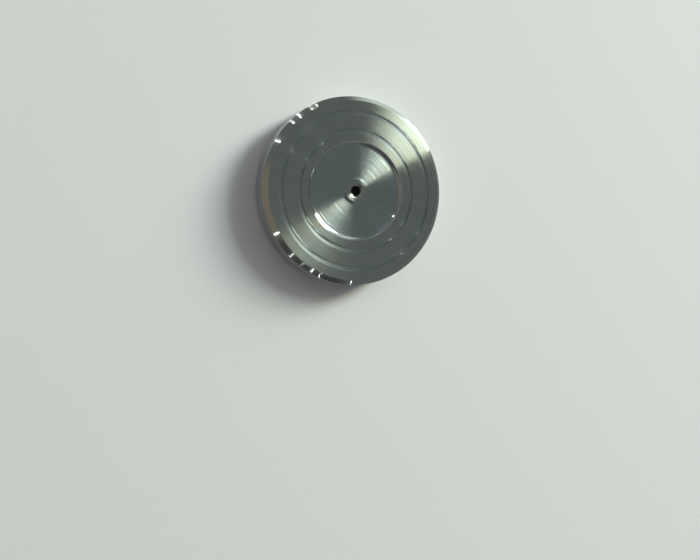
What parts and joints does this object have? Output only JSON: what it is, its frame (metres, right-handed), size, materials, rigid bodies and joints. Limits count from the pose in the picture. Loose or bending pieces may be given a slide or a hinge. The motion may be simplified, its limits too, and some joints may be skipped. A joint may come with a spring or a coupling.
{
  "type": "turned metal end plate",
  "caption": "Round turned metal disc with a chamfered rim, ring grooves and a recess round a bored boss on the front, and a pilot ring with a deep pocket on the back.",
  "frame": {"origin": "centre of the pilot ring's end face, on the turning axis", "axes": "+Z along the turning axis, from the back pocket towards the stepped front face; X and Y lie across the disc"},
  "size_m": [0.06, 0.06, 0.0116],
  "materials": {
    "turned_steel": "bright turned, with fine concentric tool lines"
  },
  "bodies": {
    "root": {"turned_disc": "turned_steel"}
  },
  "joints": []
}
